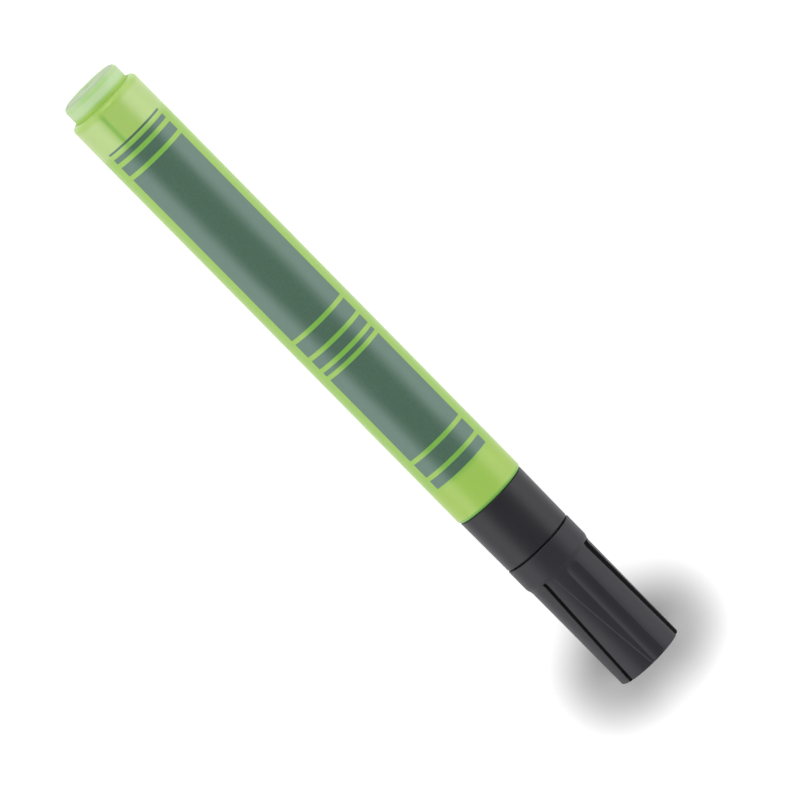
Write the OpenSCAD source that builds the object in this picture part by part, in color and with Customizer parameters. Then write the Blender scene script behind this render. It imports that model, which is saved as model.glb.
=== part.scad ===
// Paint marker with a spring valve, capped, lying along X with its printed side up.
// The cap points along +X. The origin lies under the middle of the marker, on the
// surface that the barrel rests on. Sizes are in millimetres.

/* [Barrel] */
// Length of the barrel tube
barrel_len = 95; // [80:1:115]
// Outer diameter of the barrel tube
barrel_d = 14.4; // [13.6:0.1:16]
// Wall of the barrel tube
barrel_wall = 1; // [0.8:0.05:1.3]
// Rounding of the barrel's rear shoulder
shoulder_round = 0.9; // [0.2:0.1:1.2]
// Rounding of the barrel's front edge
front_round = 0.45; // [0.1:0.05:0.6]
// Depth of the step inside the barrel that the valve flange seats on
seat_step = 0.15; // [0.1:0.05:0.3]

/* [Tail plug] */
// Length of the stub that stands out of the barrel
stub_len = 3.5; // [2:0.1:6]
// Rounding of the stub's end
stub_round = 1; // [0.3:0.1:1.5]
// How far the stub is set in from the barrel's bore
stub_inset = 0.3; // [0.1:0.05:0.8]
// How far the plug's skirt reaches into the barrel
skirt_len = 8; // [4:0.5:12]
// Wall of the plug's skirt
skirt_wall = 0.7; // [0.5:0.05:1]
// How far the plug's floor lies inside the barrel's rear end
floor_depth = 0.8; // [0.4:0.1:2]

/* [Mixing ball] */
// Diameter of the steel mixing ball
ball_d = 5; // [4:0.1:5.6]
// Where the ball lies at rest, from the plug's skirt to the ball's middle
ball_place = 24; // [10:1:40]

/* [Front section] */
// Length of the collar that shows between barrel and cap
collar_len = 11.7; // [6:0.1:20]
// How far the collar's rear edge is set in from the barrel's outside
collar_inset = 0.2; // [0.1:0.05:0.5]
// How much the collar's radius draws in towards the cap
collar_taper = 0.1; // [0:0.05:0.3]
// Bevel on the collar's two edges
collar_bevel = 0.18; // [0.1:0.02:0.3]
// Length of the spigot inside the barrel
spigot_len = 10.3; // [6:0.1:16]
// Length of the neck that the cap grips
neck_len = 4.7; // [4:0.1:6]
// Height of the neck's grip bead
bead_height = 0.2; // [0.1:0.05:0.3]
// Width of the neck's grip bead
bead_width = 1.4; // [0.8:0.1:2]
// Length of the cone between neck and seal land
land_drop = 1.1; // [0.8:0.1:2]
// Length of the land that the cap's liner seals on
land_len = 3.4; // [2:0.1:5]
// Length of the nose cone in front of the land
nose_len = 7.8; // [6:0.1:9]
// Wall round the nib at the nose's tip
nose_wall = 0.5; // [0.4:0.05:0.8]
// Length of the rounded-off tip of the nose
nose_tip = 0.5; // [0.3:0.1:1]
// How much wider the nose is behind its tip
nose_flare = 0.35; // [0.2:0.05:0.6]
// Width of the paint channels along the nib
channel_width = 0.6; // [0.4:0.1:0.8]
// Depth of the paint channels along the nib
channel_depth = 0.3; // [0.2:0.05:0.4]
// Wall left closed at the front end of the paint channels
channel_stop = 2; // [1:0.5:4]

/* [Nib] */
// Diameter of the felt nib
nib_d = 3.8; // [3:0.1:4.2]
// Length of the nib that stands out of the nose
nib_out = 4; // [3:0.1:4.5]
// Length of the nib's bullet taper
bullet_len = 2.6; // [2:0.1:3]
// Radius of the nib's round tip
tip_r = 1.3; // [1:0.05:1.4]
// How far the nib reaches into the paint chamber behind its bore
nib_reach = 1; // [0.5:0.1:2]

/* [Valve] */
// Bore of the valve housing
valve_bore_d = 6.4; // [6:0.1:7]
// Wall of the valve housing's sleeve
sleeve_wall = 1.4; // [1.2:0.05:1.6]
// Length of the valve housing's sleeve
sleeve_len = 7.8; // [6:0.1:9]
// Thickness of the valve housing's flange
flange_t = 1; // [0.8:0.1:1.5]
// Length of the slotted cage behind the flange
cage_len = 7.7; // [6:0.1:10]
// Wall of the cage
cage_wall = 1; // [0.8:0.05:1.4]
// Thickness of the cage's rear wall
cage_end = 1.2; // [0.8:0.1:1.6]
// Number of slots in the cage
cage_slots = 4; // [3:1:5]
// Width of a cage slot
slot_width = 2.2; // [1.6:0.1:2.4]
// Plain cage left at each end of a slot
slot_margin = 1.1; // [0.6:0.1:1.6]
// Depth of the valve seat inside the sleeve
seat_depth = 2; // [1.6:0.1:3]
// Thickness of the valve seat's flange
seat_flange = 1; // [0.8:0.1:1.5]
// Hole through the valve seat
seat_hole_d = 3.4; // [3:0.1:3.8]
// Depth of the seat's cone
seat_cone = 0.9; // [0.6:0.1:1.2]
// Diameter of the valve head
head_d = 5.6; // [5.4:0.1:5.8]
// Thickness of the valve head's rim
head_t = 1.55; // [1:0.05:2]
// Diameter of the stem's rod behind the head
tail_rod_d = 2; // [1.6:0.1:2.2]
// Diameter of the stem's rod in front of the head
front_rod_d = 2.2; // [1.6:0.1:2.4]
// How far the stem's tail stands out of the cage
tail_out = 0.9; // [0.4:0.1:2]

/* [Spring] */
// Mean diameter of the spring's coils
coil_d = 3.9; // [3.4:0.1:4.4]
// Diameter of the spring's wire
wire_d = 0.5; // [0.3:0.05:0.55]
// Number of coils
coil_count = 8; // [5:1:9]

/* [Cap] */
// Length of the cap
cap_len = 27.75; // [27:0.05:34]
// How far the cap's band stands proud of the collar
band_proud = 0.08; // [0:0.02:0.2]
// Length of the plain band at the cap's mouth
band_len = 5.2; // [5:0.1:8]
// How much the cap's radius draws in after the band
band_step = 0.28; // [0.1:0.02:0.4]
// Length over which the cap draws in
band_fade = 1.5; // [0.8:0.1:2.5]
// Wall of the band
band_wall = 0.93; // [0.8:0.01:1.1]
// Wall of the fluted part, from its largest radius
fluted_wall = 1.28; // [1.2:0.01:1.5]
// How far the wide bore reaches past the band
mouth_extra = 0.5; // [0.4:0.1:1.2]
// Thickness of the cap's closed end
cap_end = 1.2; // [0.9:0.1:2]
// Rounding of the cap's closed end
end_round = 0.6; // [0.2:0.1:1]
// Wall of the liner inside the cap
liner_wall = 0.6; // [0.5:0.05:0.8]
// Thickness of the liner's closed end
liner_end = 0.6; // [0.5:0.05:1]

/* [Flutes] */
// Angle from the top of the marker to the middle of a scooped groove
flute_turn = 15; // [0:1:45]
// Width of a scooped groove
groove_width = 2.9; // [2:0.1:3.4]
// Depth of a scooped groove
groove_depth = 0.42; // [0.25:0.01:0.5]
// Angle from a groove's middle to the panel's near edge, at the band
near_start = 36; // [30:1:38]
// Angle from a groove's middle to the panel's near edge, at the end
near_end = 16; // [15:1:30]
// Angle from a groove's middle to the slit, at the band
slit_start = 53.5; // [48:0.5:58]
// Angle from a groove's middle to the slit, at the end
slit_end = 66; // [60:0.5:72]
// Width of a slit
slit_width = 0.75; // [0.5:0.05:1]
// Depth of a slit
slit_depth = 0.55; // [0.3:0.01:0.65]
// How deep a panel is set in at the cap's end
panel_sink = 0.14; // [0.08:0.01:0.25]
// How deep the plain sides are set in at the cap's end
side_sink = 0.12; // [0.08:0.01:0.25]

/* [Fits] */
// Clearance between pieces that are pressed together
press_gap = 0.02; // [0.01:0.01:0.03]
// Clearance between pieces that slide on each other
slide_gap = 0.05; // [0.03:0.01:0.1]
// Gap between the cap's mouth and the collar
mouth_gap = 0.05; // [0.03:0.01:0.2]

/* [Hidden] */
$fn = 64;

lime = [0.63, 0.78, 0.33];
frosted_lime = [0.72, 0.84, 0.6];
black = [0.09, 0.09, 0.1];
white_plastic = [0.85, 0.86, 0.85];
felt = [0.78, 0.86, 0.5];
steel = [0.75, 0.76, 0.78];

// How far a cut runs past the face that it opens
over = 1;
// How deep a panel is set in where it starts
first_sink = 0.05;
// How much of a slit's length lies beside the fading step
slit_lead = 0.7;

// Places along the marker, from the stub's end
rear = stub_len;
front = rear + barrel_len;
collar_end = front + collar_len;
neck_end = collar_end + neck_len;
land_start = neck_end + land_drop;
land_end = land_start + land_len;
nose_end = land_end + nose_len;
nib_end = nose_end + nib_out;
mouth = collar_end + mouth_gap;
band_end = mouth + band_len;
flutes_start = band_end + band_fade;
cap_top = mouth + cap_len;
liner_start = band_end + mouth_extra + press_gap;
total_len = cap_top;

// Radii of the barrel and of what fits it
barrel_r = barrel_d / 2;
bore_r = barrel_r - barrel_wall;
wide_bore_r = bore_r + seat_step;
skirt_r = bore_r - press_gap;
stub_r = skirt_r - stub_inset;
spigot_r = wide_bore_r - press_gap;
collar_r = barrel_r - collar_inset;
collar_front_r = collar_r - collar_taper;

// Radii of the cap and of what fits it
band_r = collar_front_r + band_proud;
fluted_r = band_r - band_step;
mouth_r = band_r - band_wall;
liner_seat_r = fluted_r - fluted_wall;
liner_r = liner_seat_r - press_gap;
liner_bore_r = liner_r - liner_wall;
bead_r = mouth_r - slide_gap;
neck_r = bead_r - bead_height;
land_r = liner_bore_r - slide_gap;

// Nib and nose
nib_r = nib_d / 2;
nib_bore_r = nib_r + slide_gap;
nose_tip_r = nib_bore_r + nose_wall;
bullet_start = nib_end - bullet_len;
tip_middle = nib_end - tip_r;

// Valve
valve_bore_r = valve_bore_d / 2;
sleeve_r = valve_bore_r + sleeve_wall;
cage_r = valve_bore_r + cage_wall;
spigot_rear = front - spigot_len;
flange_rear = spigot_rear - flange_t;
cage_rear = flange_rear - cage_len;
sleeve_end = spigot_rear + sleeve_len;
seat_rear = sleeve_end - seat_depth;
seat_front = sleeve_end + seat_flange;
seat_ring_r = valve_bore_r + sleeve_wall / 3;
seat_hole_r = seat_hole_d / 2;
head_r = head_d / 2;
// The head's cone has the seat's slope and stays one sliding gap short of it
cone_front_r = seat_hole_r - slide_gap * 2;
head_front = seat_rear + seat_cone + seat_hole_r - slide_gap - cone_front_r;
cone_rear = head_front - (head_r - cone_front_r);
head_rear = cone_rear - head_t;
chamber_start = seat_front + mouth_gap;
chamber_r = valve_bore_r + slide_gap;
nib_rear = collar_end - nib_reach;

// Spring, between the cage's rear wall and the valve head
coil_r = coil_d / 2;
spring_rear = cage_rear + cage_end + press_gap;
spring_front = head_rear - press_gap;
coil_pitch = (spring_front - spring_rear - wire_d) / coil_count;
rings_per_coil = 8;
wire_sides = 6;

// Flutes: the panel's cutting block points halfway between groove and side
panel_turn = 45;
// Radius of the round scoop that leaves a groove of the named width and depth
scoop_drop = groove_depth - (fluted_r - sqrt(pow(fluted_r, 2) - pow(groove_width / 2, 2)));
scoop_r = (pow(groove_width / 2, 2) + pow(scoop_drop, 2)) / (2 * scoop_drop);
scoop_axis = fluted_r - groove_depth + scoop_r;

// Lays a piece that was made along Z down along X, on the surface
module lie() {
    translate([-total_len / 2, 0, barrel_r])
        rotate([0, 90, 0])
            children();
}

// Turns what points along X to this angle from the top of the marker
module turned(angle) {
    rotate([0, 0, 180 - angle])
        children();
}

module rod(r, from, to) {
    translate([0, 0, from])
        cylinder(h = to - from, r = r);
}

module taper(r_from, r_to, from, to) {
    translate([0, 0, from])
        cylinder(h = to - from, r1 = r_from, r2 = r_to);
}

// What a rounding takes off an outline's outer corner; way is 1 at the front, -1 at the rear
module rounding(corner, r, way) {
    translate(corner)
        mirror([0, 1 - way])
            difference() {
                translate([-r, -r])
                    square(r + over);
                translate([-r, -r])
                    circle(r);
            }
}

// The line where the tube's turn starts and ends lies on top, under the print
module barrel() {
    color(lime)
        lie()
            turned(0)
                rotate_extrude()
                    difference() {
                        translate([bore_r, rear])
                            square([barrel_wall, barrel_len]);
                        translate([bore_r - over, flange_rear])
                            square([seat_step + over, barrel_len]);
                        rounding([barrel_r, rear], min(shoulder_round, barrel_wall * 0.9), -1);
                        rounding([barrel_r, front], min(front_round, barrel_wall / 2), 1);
                    }
}

module tail_plug() {
    color(frosted_lime)
        lie()
            rotate_extrude()
                difference() {
                    union() {
                        square([stub_r, rear]);
                        translate([0, rear])
                            square([skirt_r, skirt_len]);
                    }
                    translate([0, rear + floor_depth])
                        square([skirt_r - skirt_wall, skirt_len]);
                    rounding([stub_r, 0], min(stub_round, stub_len / 2), -1);
                }
}

// The ball lies on the barrel's bore, in front of the plug's skirt
module mixing_ball() {
    color(steel)
        lie()
            translate([bore_r - ball_d / 2 - slide_gap, 0, rear + skirt_len + ball_place])
                sphere(d = ball_d);
}

module valve_housing() {
    color(white_plastic)
        lie()
            difference() {
                union() {
                    rod(cage_r, cage_rear, flange_rear);
                    rod(spigot_r, flange_rear, spigot_rear);
                    rod(sleeve_r, spigot_rear, sleeve_end);
                }
                rod(valve_bore_r, cage_rear + cage_end, sleeve_end + over);
                rod(seat_ring_r, seat_rear, sleeve_end + over);
                rod(tail_rod_d / 2 + slide_gap, cage_rear - over, cage_rear + over * 2);
                for (i = [0 : cage_slots - 1])
                    rotate([0, 0, 360 / cage_slots * (i + 0.5)])
                        translate([0, -slot_width / 2, cage_rear + cage_end + slot_margin])
                            cube([cage_r + over, slot_width, cage_len - cage_end - slot_margin * 2]);
            }
}

module valve_seat() {
    color(white_plastic)
        lie()
            difference() {
                union() {
                    rod(seat_ring_r - press_gap, seat_rear, sleeve_end);
                    rod(sleeve_r, sleeve_end, seat_front);
                }
                rod(seat_hole_r, seat_rear - over, seat_front + over);
                taper(seat_hole_r + seat_cone, seat_hole_r, seat_rear, seat_rear + seat_cone);
            }
}

module valve_stem() {
    color(white_plastic)
        lie()
            union() {
                rod(tail_rod_d / 2, cage_rear - tail_out, head_rear);
                rod(head_r, head_rear, cone_rear);
                taper(head_r, cone_front_r, cone_rear, head_front);
                rod(front_rod_d / 2, head_front, nib_rear);
            }
}

// A point of the spring's middle line, i rings along
function coil_point(i) = [
    coil_r * cos(360 * i / rings_per_coil),
    coil_r * sin(360 * i / rings_per_coil),
    spring_rear + wire_d / 2 + coil_pitch * i / rings_per_coil
];

// A point of the wire's surface: ring i, side j
function wire_point(i, j) =
    let (out = wire_d / 2 * cos(360 * j / wire_sides), up = wire_d / 2 * sin(360 * j / wire_sides))
    coil_point(i) + [
        out * cos(360 * i / rings_per_coil),
        out * sin(360 * i / rings_per_coil),
        up
    ];

module valve_spring() {
    last = coil_count * rings_per_coil;
    points = [for (i = [0 : last], j = [0 : wire_sides - 1]) wire_point(i, j)];
    sides = [
        for (i = [0 : last - 1], j = [0 : wire_sides - 1])
            let (a = i * wire_sides + j, b = i * wire_sides + (j + 1) % wire_sides)
            each [[a, a + wire_sides, b], [b, a + wire_sides, b + wire_sides]]
    ];
    ends = [
        for (j = [1 : wire_sides - 2])
            each [[0, j, j + 1], [last * wire_sides, last * wire_sides + j + 1, last * wire_sides + j]]
    ];
    color(steel)
        lie()
            polyhedron(points, concat(sides, ends));
}

// Least gap between one coil and the next, from points at least half a coil apart
coil_gap = min([
    for (i = [0 : coil_count * rings_per_coil], j = [i + rings_per_coil / 2 : coil_count * rings_per_coil])
        norm(coil_point(j) - coil_point(i))
]) - wire_d;
echo(coil_gap = coil_gap);

module front_section() {
    color(black)
        lie()
            difference() {
                rotate_extrude()
                    polygon([
                        [0, spigot_rear],
                        [spigot_r, spigot_rear],
                        [spigot_r, front],
                        [collar_r - collar_bevel, front],
                        [collar_r, front + collar_bevel],
                        [collar_front_r, collar_end - collar_bevel],
                        [collar_front_r - collar_bevel, collar_end],
                        [neck_r, collar_end],
                        [neck_r, neck_end],
                        [land_r, land_start],
                        [land_r, land_end],
                        [nose_tip_r + nose_flare, nose_end - nose_tip],
                        [nose_tip_r, nose_end],
                        [0, nose_end]
                    ]);
                rod(sleeve_r + press_gap, spigot_rear - over, chamber_start);
                rod(chamber_r, spigot_rear, collar_end);
                rod(nib_bore_r, spigot_rear, nose_end + over);
                for (angle = [0, 120, 240])
                    rotate([0, 0, angle])
                        translate([0, -channel_width / 2, spigot_rear])
                            cube([nib_bore_r + channel_depth, channel_width, nose_end - channel_stop - spigot_rear]);
            }
    color(black)
        lie()
            neck_bead();
}

// Bead that grips the cap's mouth, in the middle of the neck
module neck_bead() {
    middle = collar_end + neck_len / 2;
    rotate_extrude()
        polygon([
            [chamber_r + over, middle - bead_width],
            [neck_r, middle - bead_width / 2],
            [bead_r, middle - bead_width / 4],
            [bead_r, middle + bead_width / 4],
            [neck_r, middle + bead_width / 2],
            [chamber_r + over, middle + bead_width]
        ]);
}

module nib() {
    // Where the bullet's cone meets its round tip
    cone_end = tip_middle + tip_r / 4;
    cone_end_r = sqrt(pow(tip_r, 2) - pow(tip_r / 4, 2));
    color(felt)
        lie()
            union() {
                rod(nib_r, nib_rear, bullet_start);
                taper(nib_r, cone_end_r, bullet_start, cone_end);
                translate([0, 0, tip_middle])
                    sphere(r = tip_r);
            }
}

// A block over the cap's wall, seen from outside: its outline is in [across, along]
module wall_block(outline) {
    rotate([90, 0, 90])
        linear_extrude(band_r + over)
            polygon(outline);
}

// How far across the panel's block a line on the cap's wall lies, at this angle from the groove
function across(angle) = fluted_r * sin(angle - panel_turn);

// What lies outside a wall that draws in evenly from the flutes' start to the cap's end
module outside_of(start_sink, end_sink) {
    difference() {
        rod(band_r + over, flutes_start, cap_top + over);
        taper(fluted_r - start_sink, fluted_r - end_sink, flutes_start, cap_top);
    }
}

module groove() {
    translate([scoop_axis, 0, flutes_start + groove_width / 2])
        cylinder(h = cap_len, r = scoop_r);
    translate([scoop_axis, 0, flutes_start + groove_width / 2])
        sphere(r = scoop_r);
}

// Panel that widens towards the cap's end, between the groove's land and the slit
module panel() {
    intersection() {
        wall_block([
            [across(near_start), flutes_start],
            [across(slit_start), flutes_start],
            [across(slit_end), cap_top + over],
            [across(near_end), cap_top + over]
        ]);
        outside_of(first_sink, panel_sink);
    }
}

module slit() {
    half = slit_width / 2;
    intersection() {
        wall_block([
            [across(slit_start) - half, flutes_start - slit_lead],
            [across(slit_start) + half, flutes_start - slit_lead],
            [across(slit_end) + half, cap_top + over],
            [across(slit_end) - half, cap_top + over]
        ]);
        difference() {
            rod(band_r + over, band_end, cap_top + over * 2);
            rod(fluted_r - slit_depth, band_end - over, cap_top + over * 3);
        }
    }
}

// Plain side between two slits
module side() {
    rotate([0, 0, 90 - panel_turn])
        intersection() {
            wall_block([
                [fluted_r * sin(slit_start - 90), flutes_start],
                [fluted_r * sin(90 - slit_start), flutes_start],
                [fluted_r * sin(90 - slit_end), cap_top + over],
                [fluted_r * sin(slit_end - 90), cap_top + over]
            ]);
            outside_of(first_sink, side_sink);
        }
}

// Outline of the cap: the band, the fade as half a cosine wave, and the fluted part
function cap_outline(steps) = concat(
    [[0, mouth], [band_r - collar_bevel, mouth], [band_r, mouth + collar_bevel]],
    [for (i = [0 : steps]) [fluted_r + band_step * (1 + cos(180 * i / steps)) / 2, band_end + band_fade * i / steps]],
    [[fluted_r, cap_top], [0, cap_top]]
);

module cap() {
    color(black)
        lie()
            difference() {
                rotate_extrude()
                    difference() {
                        polygon(cap_outline(6));
                        rounding([fluted_r, cap_top], end_round, 1);
                    }
                rod(mouth_r, mouth - over, band_end + mouth_extra);
                rod(liner_seat_r, mouth, cap_top - cap_end);
                for (half_turn = [0, 180])
                    turned(flute_turn + half_turn) {
                        groove();
                        for (flip = [0, 1])
                            mirror([0, flip, 0])
                                rotate([0, 0, panel_turn]) {
                                    panel();
                                    slit();
                                }
                        rotate([0, 0, panel_turn])
                            side();
                    }
            }
}

module cap_liner() {
    color(white_plastic)
        lie()
            difference() {
                rod(liner_r, liner_start, cap_top - cap_end - press_gap);
                rod(liner_bore_r, liner_start - over, cap_top - cap_end - press_gap - liner_end);
                taper(liner_r - press_gap, liner_bore_r, liner_start - liner_wall / 2, liner_start + liner_wall / 2);
            }
}

barrel();
tail_plug();
mixing_ball();
valve_housing();
valve_seat();
valve_stem();
valve_spring();
front_section();
nib();
cap();
cap_liner();
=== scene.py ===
import math
import bmesh
import bpy
from mathutils import Matrix, Vector


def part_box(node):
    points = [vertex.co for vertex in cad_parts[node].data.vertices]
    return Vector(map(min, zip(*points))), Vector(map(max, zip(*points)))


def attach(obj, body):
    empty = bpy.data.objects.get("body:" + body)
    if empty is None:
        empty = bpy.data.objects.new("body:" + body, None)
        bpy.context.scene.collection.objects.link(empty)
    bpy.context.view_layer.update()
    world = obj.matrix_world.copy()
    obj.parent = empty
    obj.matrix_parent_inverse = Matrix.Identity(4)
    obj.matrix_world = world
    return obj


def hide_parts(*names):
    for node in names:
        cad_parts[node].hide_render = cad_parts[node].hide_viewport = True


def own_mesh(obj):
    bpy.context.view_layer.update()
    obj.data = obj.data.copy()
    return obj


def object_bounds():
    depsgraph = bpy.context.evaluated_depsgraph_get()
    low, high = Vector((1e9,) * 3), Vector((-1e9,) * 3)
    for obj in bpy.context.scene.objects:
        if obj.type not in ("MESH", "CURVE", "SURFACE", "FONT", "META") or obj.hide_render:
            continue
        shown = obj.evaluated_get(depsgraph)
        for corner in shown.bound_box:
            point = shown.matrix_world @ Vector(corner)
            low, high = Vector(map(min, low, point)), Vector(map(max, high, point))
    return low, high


# A capped paint marker that lies along X: its looks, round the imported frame.
# Outlines are in millimetres: how far from the marker's tail end, and the radius there.

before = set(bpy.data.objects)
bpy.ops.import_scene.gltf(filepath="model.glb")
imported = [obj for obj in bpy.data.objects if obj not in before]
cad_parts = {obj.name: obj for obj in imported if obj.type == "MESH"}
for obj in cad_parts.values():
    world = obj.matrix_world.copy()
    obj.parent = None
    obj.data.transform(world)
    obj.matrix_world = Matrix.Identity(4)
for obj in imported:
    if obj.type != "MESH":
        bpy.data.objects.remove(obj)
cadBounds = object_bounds()
mm = 0.001
tailX = cadBounds[0].x
axisZ = (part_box("barrel")[0].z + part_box("barrel")[1].z) / 2


def span(node):
    low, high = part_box(node)
    return (low.x - tailX) / mm, (high.x - tailX) / mm


def widest(node):
    low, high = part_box(node)
    return (high.z - low.z) / 2 / mm


barrelRear, barrelFront = span("barrel")
plugRear, skirtEnd = span("tail_plug")
spigotRear, noseEnd = span("front_section")
mouth, capTop = span("cap")
linerStart, linerEnd = span("cap_liner")
nibRear, nibEnd = span("nib")
springRear, springFront = span("valve_spring")
barrelR = widest("barrel")


def mix(a, b, share):
    return a + (b - a) * share


def paint(red, green, blue):  # a colour as a picture program shows it, 0 to 255
    shares = [c / 255 for c in (red, green, blue)]
    return [c / 12.92 if c <= 0.04045 else ((c + 0.055) / 1.055) ** 2.4 for c in shares] + [1]


# Node helpers: a value may be a number, a colour or another node's output
def addNode(tree, kind, values={}, **settings):
    node = tree.nodes.new("ShaderNode" + kind)
    for name, value in settings.items():
        setattr(node, name, value)
    for name, value in values.items():
        if isinstance(value, bpy.types.NodeSocket):
            tree.links.new(value, node.inputs[name])
        else:
            node.inputs[name].default_value = value
    return node


def calc(tree, operation, *values):
    return addNode(tree, "Math", dict(enumerate(values)), operation=operation).outputs[0]


def blendColour(tree, share, first, second):
    values = {0: share, 6: first, 7: second}
    return addNode(tree, "Mix", values, data_type="RGBA").outputs[2]


def ease(tree, value, start, end):  # 0 before start, 1 after end
    values = {"Value": value, "From Min": start, "From Max": end}
    return addNode(tree, "MapRange", values, interpolation_type="SMOOTHSTEP").outputs[0]


def noise(tree, place, scale, stretch=(1, 1, 1), detail=4.0):  # scale: features per millimetre
    size = [s * scale / mm for s in stretch]
    spread = addNode(tree, "Mapping", {"Vector": place, "Scale": size}).outputs[0]
    values = {"Vector": spread, "Scale": 1.0, "Detail": detail, "Roughness": 0.55}
    return addNode(tree, "TexNoise", values).outputs[0]


def newFinish(name, **constants):
    material = bpy.data.materials.new(name)
    material.use_nodes = True
    tree = material.node_tree
    shader = tree.nodes["Principled BSDF"]
    for socket, value in constants.items():
        shader.inputs[socket.replace("_", " ")].default_value = value
    place = addNode(tree, "TexCoord").outputs["Object"]
    return material, tree, shader, place


def setColour(tree, shader, colour):
    tree.links.new(colour, shader.inputs["Base Color"])


def setRoughness(tree, shader, pattern, spread, base):
    tree.links.new(calc(tree, "MULTIPLY_ADD", pattern, spread, base), shader.inputs["Roughness"])


def setBump(tree, shader, height, depth):  # depth in millimetres
    bump = addNode(tree, "Bump", {"Height": height, "Distance": depth * mm})
    tree.links.new(bump.outputs[0], shader.inputs["Normal"])


def roundPlace(tree, place):  # how far along from the tail in mm, and the angle from the top in degrees
    parts = addNode(tree, "SeparateXYZ", {0: place}).outputs
    along = calc(tree, "MULTIPLY_ADD", parts["X"], 1 / mm, -tailX / mm)
    up = calc(tree, "SUBTRACT", parts["Z"], axisZ)
    angle = calc(tree, "MULTIPLY", calc(tree, "ARCTAN2", parts["Y"], up), math.degrees(1))
    return along, angle


def fromAxis(tree, place):  # distance from the marker's axis in mm
    values = {"Vector": place, "Location": (0, 0, -axisZ), "Scale": (0, 1, 1)}
    level = addNode(tree, "Mapping", values).outputs[0]
    reach = addNode(tree, "VectorMath", {0: level}, operation="LENGTH").outputs["Value"]
    return calc(tree, "DIVIDE", reach, mm)


# Shapes
def filleted(corners, steps=6):  # a corner with a third number is rounded with that radius
    outline = []
    for i, corner in enumerate(corners):
        here = Vector(corner[:2])
        if len(corner) < 3:
            outline.append(here)
            continue
        back = (Vector(corners[i - 1][:2]) - here).normalized()
        ahead = (Vector(corners[(i + 1) % len(corners)][:2]) - here).normalized()
        half = back.angle(ahead) / 2
        reach = corner[2] / math.tan(half)
        centre = here + (back + ahead).normalized() * corner[2] / math.sin(half)
        first = here + back * reach - centre
        last = here + ahead * reach - centre
        outline.append(here + back * reach * 1.05)  # narrow strips keep the round's shading off the flats
        turn = first.angle_signed(last)
        outline += [centre + Matrix.Rotation(-turn * k / steps, 2) @ first for k in range(steps + 1)]
        outline.append(here + ahead * reach * 1.05)
    return outline


def spun(outline, closed=True, steps=128):
    bm = bmesh.new()
    ring = [bm.verts.new((tailX + p[0] * mm, 0, axisZ + p[1] * mm)) for p in outline]
    edges = [bm.edges.new(pair) for pair in zip(ring, ring[1:])]
    if closed:
        edges.append(bm.edges.new((ring[-1], ring[0])))
    bmesh.ops.spin(bm, geom=ring + edges, cent=(0, 0, axisZ), axis=(1, 0, 0), angle=math.tau,
                   steps=steps, use_merge=True)
    bmesh.ops.remove_doubles(bm, verts=bm.verts, dist=0.0002 * mm)
    bmesh.ops.recalc_face_normals(bm, faces=bm.faces)
    return bm


def fineCopy(node):
    bm = bmesh.new()
    bm.from_mesh(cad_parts[node].data)
    bmesh.ops.remove_doubles(bm, verts=bm.verts, dist=0.001 * mm)
    bmesh.ops.dissolve_limit(bm, angle_limit=math.radians(0.5), verts=bm.verts, edges=bm.edges)
    return bm


def addPiece(name, bm, finish, body, node, sharp=35):
    for face in bm.faces:
        face.smooth = True
    for edge in bm.edges:
        edge.smooth = edge.calc_face_angle(math.pi) < math.radians(sharp)
    mesh = bpy.data.meshes.new(name)
    bm.to_mesh(mesh)
    bm.free()
    mesh.materials.append(finish)
    piece = bpy.data.objects.new(name, mesh)
    bpy.context.scene.collection.objects.link(piece)
    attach(piece, body)
    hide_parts(node)
    return piece


# Translucent lime barrel with its print: bars of ink on top, with gaps of one width.
# Angles are from the top, in degrees. A pair of colours is for the middle and for the sides; where the
# sides are lighter, that is painted light from the side lamps: sheen on the ink and light through the
# lime.
# A fade at an end says where it starts and where it is full, seen from that end.
barrel = {
    "bore": 6.2, "frontBore": 6.35, "boreStep": 87.2, "shoulder": 0.92, "frontEdge": 0.7,
    "printStart": 10.5, "gap": 0.87, "bars": (0.4, 0.95, 2.0, 38.65, 3.1, 1.95, 0.85, 19.6, 3.05, 1.9),
    "halfTurn": 53.0,
    "ink": (paint(70, 104, 84), paint(100, 130, 118)),
    "inkSpeck": paint(92, 124, 106), "inkHeight": 0.012,
    "lime": (paint(130, 190, 76), paint(160, 204, 88)), "middle": (12, 36), "sway": 16,
    "tailLime": (paint(172, 208, 108), paint(188, 217, 136)),
    "tailMiddle": (13, 27), "tailTurn": -3, "tailSway": 8, "tailFade": (0.6, -1.4),
    "streakShadeLime": paint(124, 188, 76), "shadeStreak": -17.0, "shadeStreakFade": (5.5, 0.5),
    "frontLime": (paint(166, 208, 90), paint(170, 206, 88)), "frontFade": (-8.2, -6.4),
    "rearRim": paint(166, 204, 90), "rearRimFade": (1.8, 0.7),
    "frontRimShade": paint(104, 186, 74), "frontRimShadeFade": (-0.9, -0.3),
}


def inkedBars(tree, along):
    total = 0.0
    start = barrel["printStart"]
    for length in barrel["bars"]:
        bar = calc(tree, "COMPARE", along, start + length / 2, length / 2)
        total = calc(tree, "ADD", bar, total)
        start += length + barrel["gap"]
    return total


def fadeAt(tree, along, end, fade):  # at one of a piece's ends
    return ease(tree, along, end + fade[0], end + fade[1])


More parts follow.
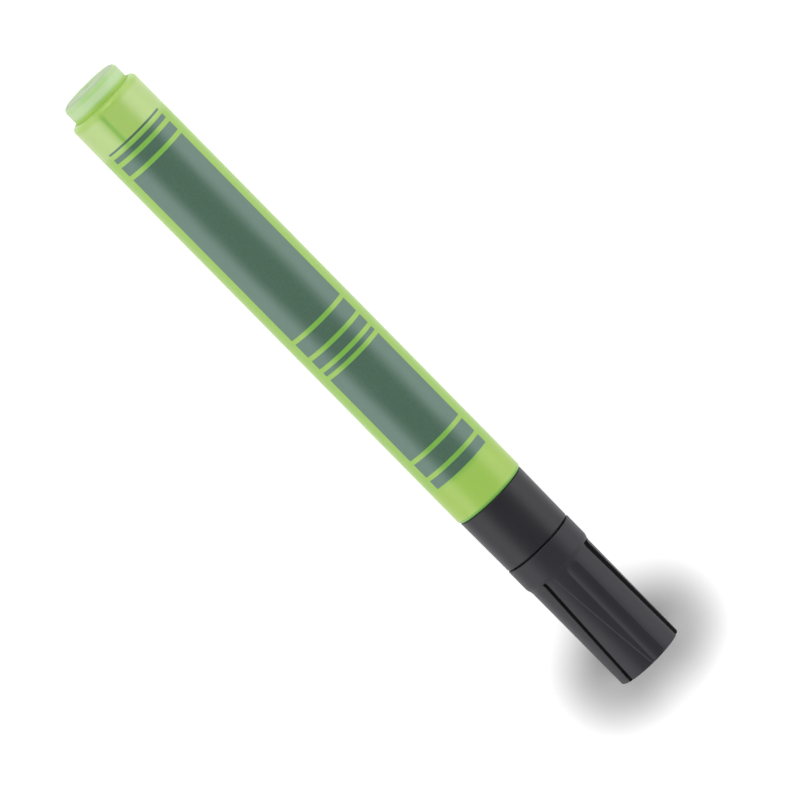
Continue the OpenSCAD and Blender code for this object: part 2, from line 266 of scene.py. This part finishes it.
def limeColour(tree, along, angle, side, cloud):
    # painted light: the tail's sides are paler where the side lamps shine on them
    swayed = calc(tree, "MULTIPLY_ADD", cloud, barrel["tailSway"], angle)
    middle = barrel["tailTurn"] + barrel["tailSway"] / 2
    turned = calc(tree, "ABSOLUTE", calc(tree, "SUBTRACT", swayed, middle))
    tail = blendColour(tree, ease(tree, turned, *barrel["tailMiddle"]), *barrel["tailLime"])
    offShadeStreak = calc(tree, "ABSOLUTE", calc(tree, "SUBTRACT", angle, barrel["shadeStreak"]))
    shadeStreak = calc(tree, "MULTIPLY", ease(tree, offShadeStreak, *barrel["shadeStreakFade"]), 0.65)
    tail = blendColour(tree, shadeStreak, tail, barrel["streakShadeLime"])  # painted darker streak at the edge of a side lamp's reflection, seen through the wall
    # painted light: the lime turns paler towards the sides, which face the side lamps
    lime = blendColour(tree, side, *barrel["lime"])
    lime = blendColour(tree, fadeAt(tree, along, skirtEnd, barrel["tailFade"]), lime, tail)
    bare = blendColour(tree, side, *barrel["frontLime"])
    lime = blendColour(tree, fadeAt(tree, along, barrelFront, barrel["frontFade"]), lime, bare)
    rearRim = calc(tree, "MULTIPLY", fadeAt(tree, along, barrelRear, barrel["rearRimFade"]), 0.7)
    lime = blendColour(tree, rearRim, lime, barrel["rearRim"])
    # painted shade and reflection of the black collar in the rounded front rim: a darker green line
    frontRimShade = calc(tree, "MULTIPLY", fadeAt(tree, along, barrelFront, barrel["frontRimShadeFade"]), 0.8)
    return blendColour(tree, frontRimShade, lime, barrel["frontRimShade"])


def makeBarrelFinish():
    material, tree, shader, place = newFinish(
        "limeBarrel", IOR=1.46, Coat_Weight=0.08, Coat_Roughness=0.12,
        Subsurface_Weight=0.25, Subsurface_Scale=0.002, Subsurface_Radius=(0.8, 1.0, 0.35))
    along, angle = roundPlace(tree, place)
    across = calc(tree, "ABSOLUTE", angle)
    edge = ease(tree, across, barrel["halfTurn"] + 0.4, barrel["halfTurn"] - 0.4)
    inked = calc(tree, "MULTIPLY", inkedBars(tree, along), edge)
    cloud = noise(tree, place, 0.12, stretch=(0.4, 1, 1))
    sway = barrel["sway"]
    swayed = calc(tree, "MULTIPLY_ADD", cloud, sway, calc(tree, "SUBTRACT", across, sway / 2))
    # painted light: towards the sides, which face the side lamps, ink and lime take their lighter colours
    side = ease(tree, swayed, *barrel["middle"])
    speck = calc(tree, "MULTIPLY", ease(tree, noise(tree, place, 2.5), 0.3, 0.7), 0.25)
    ink = blendColour(tree, speck, blendColour(tree, side, *barrel["ink"]), barrel["inkSpeck"])
    lime = limeColour(tree, along, angle, side, cloud)
    setColour(tree, shader, blendColour(tree, inked, lime, ink))
    haze = noise(tree, place, 0.5, stretch=(0.3, 1, 1))
    glossy = calc(tree, "MULTIPLY_ADD", haze, 0.1, 0.28)  # under 0.275 the denoiser leaves dark specks
    setRoughness(tree, shader, inked, 0.12, glossy)
    grain = calc(tree, "MULTIPLY", noise(tree, place, 3.0), 0.002)
    setBump(tree, shader, calc(tree, "MULTIPLY_ADD", inked, barrel["inkHeight"], grain), 1.0)
    return material


def makeBarrel():
    outline = filleted([
        (barrelRear, barrel["bore"], 0.04),
        (barrelRear, barrelR, barrel["shoulder"]),
        (barrelFront, barrelR, barrel["frontEdge"]),
        (barrelFront, barrel["frontBore"], 0.06),
        (barrel["boreStep"], barrel["frontBore"]),
        (barrel["boreStep"], barrel["bore"]),
    ])
    bm = spun(outline, steps=160)
    addPiece("barrelTube", bm, makeBarrelFinish(), "barrel", "barrel")


# Frosted stub at the tail, with the skirt that it is pressed in by
plug = {
    "stub": 5.88, "stubEdge": 1.0, "skirt": 6.18, "skirtWall": 0.7, "floor": 4.3,
    "gate": 0.9, "gateDepth": 0.15,
    "frost": (paint(166, 210, 132), paint(176, 216, 142)),
    "sides": paint(194, 216, 166), "litSideFade": (18, 48),
    "haze": paint(196, 224, 170), "hazeStart": (0.7, 1.5), "hazeEnd": (2.9, 2.1),
    "lime": paint(168, 208, 92), "limeFade": (2.4, 3.2),
    "end": (paint(176, 206, 150), paint(184, 194, 176)), "endRimShading": (4.4, 5.4), "endFade": (0.35, 0.05),
}


def makeFrostedFinish():
    material, tree, shader, place = newFinish(
        "frostedPlug", IOR=1.45,
        Subsurface_Weight=0.35, Subsurface_Scale=0.002, Subsurface_Radius=(0.9, 1.0, 0.6))
    along, angle = roundPlace(tree, place)
    cloud = ease(tree, noise(tree, place, 0.3), 0.3, 0.7)
    # painted light: the stub's sides, which face the side lamps, are paler
    side = ease(tree, calc(tree, "ABSOLUTE", angle), *plug["litSideFade"])
    colour = blendColour(tree, cloud, *plug["frost"])
    colour = blendColour(tree, calc(tree, "MULTIPLY", side, 0.7), colour, plug["sides"])
    hazeStart = ease(tree, along, *plug["hazeStart"])
    hazy = calc(tree, "MULTIPLY", hazeStart, ease(tree, along, *plug["hazeEnd"]))
    colour = blendColour(tree, hazy, colour, plug["haze"])
    colour = blendColour(tree, ease(tree, along, *plug["limeFade"]), colour, plug["lime"])
    # painted shading: the end face turns grey towards its rounded rim
    end = blendColour(tree, ease(tree, fromAxis(tree, place), *plug["endRimShading"]), *plug["end"])
    setColour(tree, shader, blendColour(tree, ease(tree, along, *plug["endFade"]), colour, end))
    frost = noise(tree, place, 4.0)
    setRoughness(tree, shader, frost, 0.15, 0.42)
    setBump(tree, shader, frost, 0.006)
    return material


def makeTailPlug():
    inside = plug["skirt"] - plug["skirtWall"]
    outline = filleted([
        (plugRear + plug["gateDepth"], 0),
        (plugRear + plug["gateDepth"], plug["gate"], 0.05),
        (plugRear, plug["gate"] + 0.15, 0.05),
        (plugRear, plug["stub"], plug["stubEdge"]),
        (barrelRear, plug["stub"], 0.08),
        (barrelRear, plug["skirt"], 0.05),
        (skirtEnd, plug["skirt"], 0.15),
        (skirtEnd, inside, 0.15),
        (plug["floor"], inside, 0.4),
        (plug["floor"], 0),
    ])
    bm = spun(outline, closed=False)
    addPiece("tailStub", bm, makeFrostedFinish(), "barrel", "tail_plug")


def makeBlackFinish(name, dark, light, rough):
    material, tree, shader, place = newFinish(name, IOR=1.39)
    cloud = noise(tree, place, 0.4, stretch=(0.3, 1, 1))
    setColour(tree, shader, blendColour(tree, cloud, dark, light))
    setRoughness(tree, shader, cloud, 0.12, rough)
    setBump(tree, shader, noise(tree, place, 6.0), 0.0025)
    return material


# Black collar, with the spigot, neck, seal land and nose that barrel and cap hide
front = {
    "spigot": 6.33, "collar": 7.0, "collarFront": 6.9, "edge": 0.18, "mouthEdge": 0.15, "mouthGap": 0.32,
    "neck": 5.8, "neckLength": 4.65, "bead": 6.0, "beadWidth": 1.4,
    "land": 4.75, "landDrop": 1.1, "landLength": 3.4,
    "noseRear": 2.8, "noseTip": 2.45, "noseBevel": 0.5, "nibBore": 1.95,
    "chamber": 3.25, "chamberGap": 0.05, "sleeve": 4.62, "sleeveEnd": 97.05,
    "dark": paint(26, 25, 31), "light": paint(33, 32, 39), "rough": 0.36,
}


def makeFrontSection():
    collarEnd = mouth - front["mouthGap"]
    chamberEnd = mouth - front["chamberGap"]
    neckEnd = mouth + front["neckLength"]
    landStart = neckEnd + front["landDrop"]
    landEnd = landStart + front["landLength"]
    bead = mouth + front["neckLength"] / 2
    halfBead = front["beadWidth"] / 2
    outline = filleted([
        (spigotRear, front["spigot"], 0.3),
        (barrelFront, front["spigot"]),
        (barrelFront, front["collar"], front["edge"]),
        (collarEnd, front["collarFront"], front["mouthEdge"]),
        (collarEnd, front["neck"], 0.1),
        (bead - halfBead, front["neck"], 0.3),
        (bead - halfBead / 2, front["bead"], 0.3),
        (bead + halfBead / 2, front["bead"], 0.3),
        (bead + halfBead, front["neck"], 0.3),
        (neckEnd, front["neck"], 0.3),
        (landStart, front["land"], 0.3),
        (landEnd, front["land"], 0.6),
        (noseEnd - front["noseBevel"], front["noseRear"], 0.4),
        (noseEnd, front["noseTip"], 0.1),
        (noseEnd, front["nibBore"], 0.1),
        (chamberEnd, front["nibBore"]),
        (chamberEnd, front["chamber"]),
        (front["sleeveEnd"], front["chamber"]),
        (front["sleeveEnd"], front["sleeve"]),
        (spigotRear, front["sleeve"], 0.2),
    ])
    finish = makeBlackFinish("blackCollar", front["dark"], front["light"], front["rough"])
    addPiece("frontBody", spun(outline, steps=160), finish, "barrel", "front_section")


# Fluted cap with two scooped grooves. On each side of a groove, 1 or -1, a quarter turn holds
# a panel that widens and a slit. Angles run from the groove's middle, and a pair of them is for
# the band and for the cap's end.
cap = {
    "band": 6.98, "bandLength": 4.2, "fade": 1.2, "fluted": 6.7, "endEdge": 0.6, "edge": 0.18,
    "mouthBore": 6.05, "mouthDepth": 5.7, "seatBore": 5.42, "endWall": 1.2, "endRings": (0, 2, 4, 5.5),
    "fluteTurn": 11.5, "grooveWidth": 2.5, "grooveDepth": 0.38, "lipSoftness": 0.03,
    "near": {-1: (32.5, 14.2), 1: (40.5, 22)}, "slit": {-1: (50, 62.5), 1: (50.8, 60.5)},
    "slitWidth": {-1: 0.75, 1: 1.6}, "slitDepth": 0.9, "slitLead": 0.4, "wallTurn": 1.2,
    "firstSink": 0.05, "panelSink": 0.2, "sideSink": 0.12,
    "columns": (24, 18, 2, 18, 2, 6, 2, 20),  # in a quarter turn, from the groove's middle
    "rowStep": 0.2, "fadeRows": 8,
    "dark": paint(30, 30, 37), "light": paint(39, 39, 47), "rough": 0.4,
    "slitShadeDark": paint(14, 14, 15), "slitShadeLight": paint(26, 26, 27),
}
bandEnd = mouth + cap["bandLength"]
flutesStart = bandEnd + cap["fade"]
quarter = sum(cap["columns"])


def makeSlitShadeFinish():  # painted shade: the slits' insides are rough and painted dark, whatever light reaches them
    material, tree, shader, place = newFinish("slitPaintedShade", Specular_IOR_Level=0.12)
    dust = noise(tree, place, 2.0)
    setColour(tree, shader, blendColour(tree, dust, cap["slitShadeDark"], cap["slitShadeLight"]))
    setRoughness(tree, shader, dust, 0.2, 0.65)
    setBump(tree, shader, noise(tree, place, 8.0), 0.01)
    return material


def panelAngle(start, end, share):  # an edge that runs straight across the block that cuts a panel
    across = mix(math.sin(math.radians(start - 45)), math.sin(math.radians(end - 45)), share)
    return 45 + math.degrees(math.asin(across))


def halfSlit(side):
    return math.degrees(cap["slitWidth"][side] / 2 / cap["fluted"])


def flutePlan(side, share):  # angles where the groups of columns meet
    lip = math.degrees(math.asin(cap["grooveWidth"] / 2 / cap["fluted"]))
    near = panelAngle(*cap["near"][side], share)
    slit = panelAngle(*cap["slit"][side], share)
    half = halfSlit(side)
    wall = cap["wallTurn"] / 2
    return [0, lip * 1.2, near - wall, near + wall, slit - half - wall, slit - half + wall,
            slit + half - wall, slit + half + wall, 90]


def fluteAngle(column, side, share):
    plan = flutePlan(side, share)
    done = 0
    for count, start, end in zip(cap["columns"], plan, plan[1:]):
        if column <= done + count:
            return mix(start, end, (column - done) / count)
        done += count


def softMin(a, b, width):
    return min(a, b) - width * math.log1p(math.exp(-abs(a - b) / width))


def inSlit(along, turn, side, share):
    away = abs(turn - panelAngle(*cap["slit"][side], share))
    return away < halfSlit(side) and along > flutesStart - cap["slitLead"]


def scooped(along, turn, radius):  # the groove, as a ball cutter leaves it behind its round start
    drop = cap["grooveDepth"] - cap["fluted"] + math.sqrt(cap["fluted"] ** 2 - cap["grooveWidth"] ** 2 / 4)
    scoop = (cap["grooveWidth"] ** 2 / 4 + drop ** 2) / (2 * drop)
    centre = cap["fluted"] - cap["grooveDepth"] + scoop
    before = max(flutesStart + cap["grooveWidth"] / 2 - along, 0)
    reach = scoop ** 2 - before ** 2 - (centre * math.sin(math.radians(turn))) ** 2
    if turn >= 45 or reach <= 0:
        return radius
    floor = centre * math.cos(math.radians(turn)) - math.sqrt(reach)
    return softMin(radius, floor, cap["lipSoftness"]) if floor < radius + 0.3 else radius


def flutedRadius(along, turn, side, share, radius):
    if inSlit(along, turn, side, share):
        return min(radius, cap["fluted"] - cap["slitDepth"])
    radius = scooped(along, turn, radius)
    if along > flutesStart and turn > panelAngle(*cap["near"][side], share):
        inPanel = turn < panelAngle(*cap["slit"][side], share)
        sink = cap["panelSink"] if inPanel else cap["sideSink"]
        radius = min(radius, cap["fluted"] - mix(cap["firstSink"], sink, share))
    return radius


def carveFlutes(bm):
    sunk = set()
    for vert in bm.verts:
        along = (vert.co.x - tailX) / mm
        radius = math.hypot(vert.co.y, vert.co.z - axisZ) / mm
        inBore = radius < cap["mouthBore"] + 0.1 and along < capTop - cap["endWall"] / 2
        if radius < 0.01 or inBore:
            continue
        column = round(math.degrees(math.atan2(vert.co.y, vert.co.z - axisZ)) / 90 * quarter)
        steps = column % (2 * quarter)
        side = 1 if steps <= quarter else -1
        steps = steps if side > 0 else 2 * quarter - steps
        share = min(max((along - flutesStart) / (capTop - flutesStart), 0), 1)
        turn = fluteAngle(steps, side, share)
        if radius > cap["fluted"] - cap["slitDepth"] and inSlit(along, turn, side, share):
            sunk.add(vert)
        radius = flutedRadius(along, turn, side, share, radius)
        base = column - side * steps
        angle = math.radians(base / quarter * 90 + side * turn + cap["fluteTurn"])
        vert.co.y = radius * math.sin(angle) * mm
        vert.co.z = axisZ + radius * math.cos(angle) * mm
    # painted shade: faces at the slits take the second finish, dark whatever light reaches them
    for face in bm.faces:
        face.material_index = 1 if sunk.intersection(face.verts) else 0


def makeCap():
    edgeStart = capTop - cap["endEdge"]
    outer = filleted([
        *[(capTop, radius) for radius in cap["endRings"]],
        (capTop, cap["fluted"], cap["endEdge"]),
        (capTop - 1, cap["fluted"]),
    ])[:-1]  # the last point only gives the rounding its direction
    rows = round((edgeStart - flutesStart) / cap["rowStep"])
    for k in range(rows + 1):
        outer.append((mix(edgeStart - cap["rowStep"], flutesStart, k / rows), cap["fluted"]))
    for k in range(1, cap["fadeRows"] + 1):
        share = k / cap["fadeRows"]
        radius = mix(cap["fluted"], cap["band"], (1 - math.cos(math.pi * share)) / 2)
        outer.append((mix(flutesStart, bandEnd, share), radius))
    inner = filleted([
        (bandEnd - 0.5, cap["band"]),
        (mouth, cap["band"], cap["edge"]),
        (mouth, cap["mouthBore"], 0.15),
        (mouth + cap["mouthDepth"], cap["mouthBore"]),
        (mouth + cap["mouthDepth"], cap["seatBore"]),
        (capTop - cap["endWall"], cap["seatBore"]),
        (capTop - cap["endWall"], 0),
    ])
    bm = spun(outer + inner, closed=False, steps=4 * quarter)
    carveFlutes(bm)
    finish = makeBlackFinish("blackCap", cap["dark"], cap["light"], cap["rough"])
    shell = addPiece("capShell", bm, finish, "cap", "cap", sharp=60)
    # the second finish is the slits' painted shade
    shell.data.materials.append(makeSlitShadeFinish())


def makeWhiteFinish(name, dark, light, rough):
    material, tree, shader, place = newFinish(
        name, IOR=1.49, Roughness=rough, Subsurface_Weight=0.2, Subsurface_Scale=0.001)
    setColour(tree, shader, blendColour(tree, noise(tree, place, 0.5), dark, light))
    setBump(tree, shader, noise(tree, place, 5.0), 0.004)
    return material


# White inner cap, which seals on the front section's land
liner = {
    "outer": 5.4, "bore": 4.8, "end": 0.6,
    "dark": paint(222, 224, 220), "light": paint(234, 235, 232), "rough": 0.45,
}


def makeCapLiner():
    outline = filleted([
        (linerEnd, 0),
        (linerEnd, liner["outer"], 0.3),
        (linerStart, liner["outer"], 0.1),
        (linerStart, liner["bore"], 0.3),
        (linerEnd - liner["end"], liner["bore"], 0.4),
        (linerEnd - liner["end"], 0),
    ])
    finish = makeWhiteFinish("naturalLiner", liner["dark"], liner["light"], liner["rough"])
    addPiece("innerCap", spun(outline, closed=False), finish, "cap", "cap_liner")


# Felt bullet nib, wet with paint at its tip
nib = {
    "radius": 1.9, "taper": 2.6, "tip": 1.3, "tipSteps": 10, "soakFade": (-3.2, -1.8),
    "dry": (paint(190, 208, 120), paint(214, 224, 156)),
    "wet": (paint(134, 182, 50), paint(160, 202, 76)),
}


def makeFeltFinish():
    material, tree, shader, place = newFinish("paintedFelt", Sheen_Weight=0.3, Sheen_Roughness=0.6)
    along = roundPlace(tree, place)[0]
    fibre = noise(tree, place, 5.0, stretch=(0.12, 1, 1), detail=6.0)
    dry = blendColour(tree, fibre, *nib["dry"])
    wet = blendColour(tree, fibre, *nib["wet"])
    soak = fadeAt(tree, calc(tree, "MULTIPLY_ADD", fibre, 1.2, along), nibEnd, nib["soakFade"])
    setColour(tree, shader, blendColour(tree, soak, dry, wet))
    setRoughness(tree, shader, soak, -0.3, 0.9)
    setBump(tree, shader, fibre, 0.06)
    return material


def makeNib():
    tip = nib["tip"]
    middle = nibEnd - tip
    meet = math.acos(0.25)  # where the taper runs into the round tip
    turns = [meet * (1 - k / nib["tipSteps"]) for k in range(nib["tipSteps"] + 1)]
    arc = [(middle + tip * math.cos(turn), tip * math.sin(turn)) for turn in turns]
    outline = filleted([
        (nibRear, 0),
        (nibRear, nib["radius"], 0.15),
        (nibEnd - nib["taper"], nib["radius"], 1.2),
        arc[0],
    ]) + arc[1:]
    addPiece("feltNib", spun(outline, closed=False, steps=96), makeFeltFinish(), "nib", "nib")


# White valve parts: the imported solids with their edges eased
valve = {
    "edge": 0.06, "edgeAngle": 40,
    "dark": paint(214, 217, 210), "light": paint(230, 232, 226), "rough": 0.4,
}


def makeValve():
    finish = makeWhiteFinish("naturalValve", valve["dark"], valve["light"], valve["rough"])
    for node, body in (("valve_housing", "barrel"), ("valve_seat", "barrel"), ("valve_stem", "nib")):
        piece = addPiece(node + "Fine", fineCopy(node), finish, body, node)
        bevel = piece.modifiers.new("edges", "BEVEL")
        bevel.width = valve["edge"] * mm
        bevel.segments = 2
        bevel.limit_method = "ANGLE"
        bevel.angle_limit = math.radians(valve["edgeAngle"])


def makeSteelFinish(name, rough):
    material, tree, shader, place = newFinish(name, Metallic=1.0)
    scratch = noise(tree, place, 3.0, detail=6.0)
    setColour(tree, shader, blendColour(tree, scratch, paint(188, 190, 194), paint(212, 213, 216)))
    setRoughness(tree, shader, scratch, 0.15, rough)
    setBump(tree, shader, scratch, 0.002)
    return material


# Valve spring. Coil and wire are radii; press is how far the nib's press shortens the real spring.
spring = {
    "coil": 1.95, "wire": 0.25, "coils": 8, "perCoil": 32, "wireSides": 12, "press": 1.8, "rough": 0.28,
}


def makeSpring():
    first = springRear + spring["wire"]
    pitch = (springFront - springRear - 2 * spring["wire"]) / spring["coils"]
    bm = bmesh.new()
    ring = bmesh.ops.create_circle(bm, segments=spring["wireSides"], radius=spring["wire"] * mm)["verts"]
    edges = list(bm.edges)
    for vert in ring:
        x, y = vert.co.xy
        vert.co = (tailX + first * mm + x, 0, axisZ - spring["coil"] * mm + y)
    bmesh.ops.spin(bm, geom=ring + edges, cent=(0, 0, axisZ), axis=(1, 0, 0),
                   angle=math.tau * spring["coils"], dvec=(pitch / spring["perCoil"] * mm, 0, 0),
                   steps=spring["perCoil"] * spring["coils"])
    bmesh.ops.remove_doubles(bm, verts=bm.verts, dist=0.0002 * mm)
    bmesh.ops.holes_fill(bm, edges=bm.edges)
    bmesh.ops.recalc_face_normals(bm, faces=bm.faces)
    finish = makeSteelFinish("springWire", spring["rough"])
    piece = addPiece("valveCoil", bm, finish, "barrel", "valve_spring")
    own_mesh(piece)


# Polished mixing ball
ball = {"rough": 0.08}


def makeBall():
    low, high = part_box("mixing_ball")
    bm = bmesh.new()
    bmesh.ops.create_icosphere(bm, subdivisions=5, radius=(high.x - low.x) / 2)
    bmesh.ops.translate(bm, verts=bm.verts, vec=(low + high) / 2)
    finish = makeSteelFinish("ballSteel", ball["rough"])
    addPiece("mixingBall", bm, finish, "ball", "mixing_ball")


# Room and light, in metres. The soft shade on the paper, round the cap's end, is in millimetres: there the
# paper's glow is held back in a fixed spot, a painted shadow in which the real shadow also shows.
room = {
    "floor": 2.0,
    "camera": (-0.2732, -0.0265, 2.0899), "turn": (-4.954, -5.895, 45.653), "lens": 554.17,
    "paper": 0.62, "glow": 0.75,
    "shadeEnd": 0.7, "shadeHalf": 5.7, "shadeReach": (3, 16), "shadeGlow": 0.05,
    "ceiling": 0.52, "ceilingFade": (0.6, 0.85), "walls": 1.0, "fill": 0.5,
}
lamps = {
    "sideBoxLeft": {"place": (0, -0.66, 0.26), "aim": (0, 0, 0), "size": (1.0, 0.5), "power": 2.2},
    "sideBoxRight": {"place": (0, 0.66, 0.26), "aim": (0, 0, 0), "size": (1.0, 0.5), "power": 2.2},
    "tailKey": {"place": (-0.5, 0, 0.4), "aim": (0.06, 0, 0), "size": (0.25, 0.25), "power": 1.0},
}


# 1 where the camera, a reflection or clear plastic looks, 0 where the surface only gives light
def seenRays(tree):
    rays = addNode(tree, "LightPath").outputs
    mirrored = calc(tree, "MAXIMUM", rays["Is Glossy Ray"], rays["Is Transmission Ray"])
    return calc(tree, "MAXIMUM", rays["Is Camera Ray"], mirrored)


def paperGlow(tree):  # the paper glows white but for a painted shade spot round the cap's end at rest, where its real shadow also shows
    place = addNode(tree, "TexCoord").outputs["Object"]
    parts = addNode(tree, "SeparateXYZ", {0: place}).outputs
    shadeAt = tailX / mm + capTop - room["shadeEnd"]
    along = calc(tree, "SUBTRACT", calc(tree, "DIVIDE", parts["X"], mm), shadeAt)
    across = calc(tree, "ABSOLUTE", calc(tree, "DIVIDE", parts["Y"], mm))
    beside = calc(tree, "MAXIMUM", calc(tree, "SUBTRACT", across, room["shadeHalf"]), 0.0)
    squares = calc(tree, "ADD", calc(tree, "POWER", along, 2.0), calc(tree, "POWER", beside, 2.0))
    lit = ease(tree, calc(tree, "SQRT", squares), *room["shadeReach"])
    return calc(tree, "MULTIPLY_ADD", lit, room["glow"] - room["shadeGlow"], room["shadeGlow"])


def makeFloor():
    bm = bmesh.new()
    bmesh.ops.create_grid(bm, x_segments=1, y_segments=1, size=room["floor"])
    mesh = bpy.data.meshes.new("paper")
    bm.to_mesh(mesh)
    bm.free()
    floor = bpy.data.objects.new("paper", mesh)
    bpy.context.scene.collection.objects.link(floor)
    material = bpy.data.materials.new("whitePaper")
    material.use_nodes = True
    tree = material.node_tree
    shader = tree.nodes["Principled BSDF"]
    shader.inputs["Base Color"].default_value = [room["paper"]] * 3 + [1]
    shader.inputs["Roughness"].default_value = 0.9
    shader.inputs["Specular IOR Level"].default_value = 0.0
    strength = calc(tree, "MULTIPLY", seenRays(tree), paperGlow(tree))
    glow = addNode(tree, "Emission", {"Strength": strength}).outputs[0]
    both = addNode(tree, "AddShader", {0: shader.outputs[0], 1: glow}).outputs[0]
    tree.links.new(both, tree.nodes["Material Output"].inputs["Surface"])
    mesh.materials.append(material)


def makeLamps():
    for name, lamp in lamps.items():
        light = bpy.data.lights.new(name, "AREA")
        light.shape = "RECTANGLE"
        light.size, light.size_y = lamp["size"]
        light.energy = lamp["power"]
        box = bpy.data.objects.new(name, light)
        box.location = lamp["place"]
        aim = Vector(lamp["aim"]) - Vector(lamp["place"])
        box.rotation_euler = aim.to_track_quat("-Z", "Y").to_euler()
        bpy.context.scene.collection.objects.link(box)


def makeStudio():
    world = bpy.data.worlds.new("studio")
    world.use_nodes = True
    bpy.context.scene.world = world
    tree = world.node_tree
    place = addNode(tree, "TexCoord").outputs["Generated"]
    up = addNode(tree, "SeparateXYZ", {0: place}).outputs["Z"]
    above = ease(tree, up, *room["ceilingFade"])
    backdrop = calc(tree, "MULTIPLY_ADD", above, room["ceiling"] - room["walls"], room["walls"])
    more = calc(tree, "SUBTRACT", backdrop, room["fill"])
    strength = calc(tree, "MULTIPLY_ADD", more, seenRays(tree), room["fill"])
    back = tree.nodes["Background"]
    back.inputs["Color"].default_value = (1, 1, 1, 1)
    tree.links.new(strength, back.inputs["Strength"])


def makeCamera():
    data = bpy.data.cameras.new("view")
    data.lens = room["lens"]
    data.sensor_width = 36
    camera = bpy.data.objects.new("view", data)
    camera.location = room["camera"]
    camera.rotation_euler = [math.radians(a) for a in room["turn"]]
    bpy.context.scene.collection.objects.link(camera)
    bpy.context.scene.camera = camera


makeCamera()
makeFloor()
makeLamps()
makeStudio()
print("stage: camera, floor and light stand")
makeBarrel()
makeTailPlug()
makeFrontSection()
print("stage: barrel, tail plug and front section made")
makeCap()
makeCapLiner()
print("stage: cap made, with", cap["columns"], "columns in a quarter turn")
makeNib()
makeValve()
makeSpring()
makeBall()
print("stage: nib, valve, spring and ball made")

bpy.context.scene.view_settings.view_transform = "Standard"
